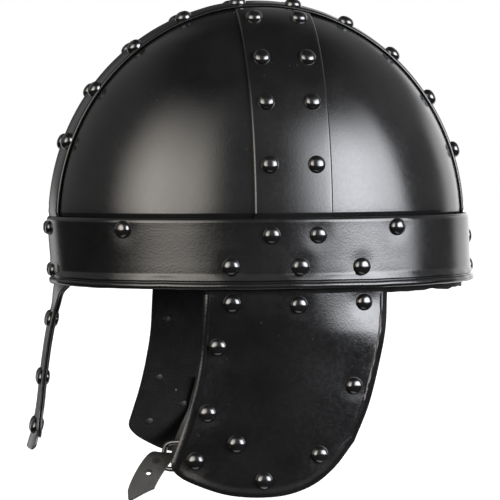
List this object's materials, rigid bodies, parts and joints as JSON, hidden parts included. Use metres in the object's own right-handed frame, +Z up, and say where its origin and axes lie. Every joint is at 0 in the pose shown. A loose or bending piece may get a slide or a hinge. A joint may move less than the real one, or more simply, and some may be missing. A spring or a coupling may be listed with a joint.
{
  "type": "nasal helmet",
  "caption": "Round banded steel helmet with riveted crown, brow band, nose guard, hanging cheek guards lined with leather, and a chin strap with a ring.",
  "frame": {"origin": "middle of the rim plane, at the lower edge of the brow band, where the head goes in", "axes": "+Z up towards the crown, -Y towards the nose guard at the front, +X towards the wearer's left"},
  "size_m": [0.2154, 0.2575, 0.2799],
  "materials": {
    "painted_steel": "black satin gloss enamel, paler where edges are rubbed",
    "black_leather": "matte black leather, flesh side and grain",
    "strap_leather": "worn dark grey-brown strap leather with blackened edges",
    "ring_steel": "dark blackened steel wire"
  },
  "bodies": {
    "root": {"crown_plate_front_left": "painted_steel", "crown_plate_front_right": "painted_steel", "crown_plate_back_left": "painted_steel", "crown_plate_back_right": "painted_steel", "side_band_left": "painted_steel", "side_band_right": "painted_steel", "ridge_band": "painted_steel", "brow_band": "painted_steel", "nasal": "painted_steel", "nasal_backing": "painted_steel", "cheek_guard_left": "painted_steel", "cheek_guard_right": "painted_steel", "cheek_lining_left": "black_leather", "cheek_lining_right": "black_leather", "liner_band": "black_leather", "chin_strap_left": "strap_leather", "chin_strap_right": "strap_leather", "chin_ring": "ring_steel"}
  },
  "joints": []
}
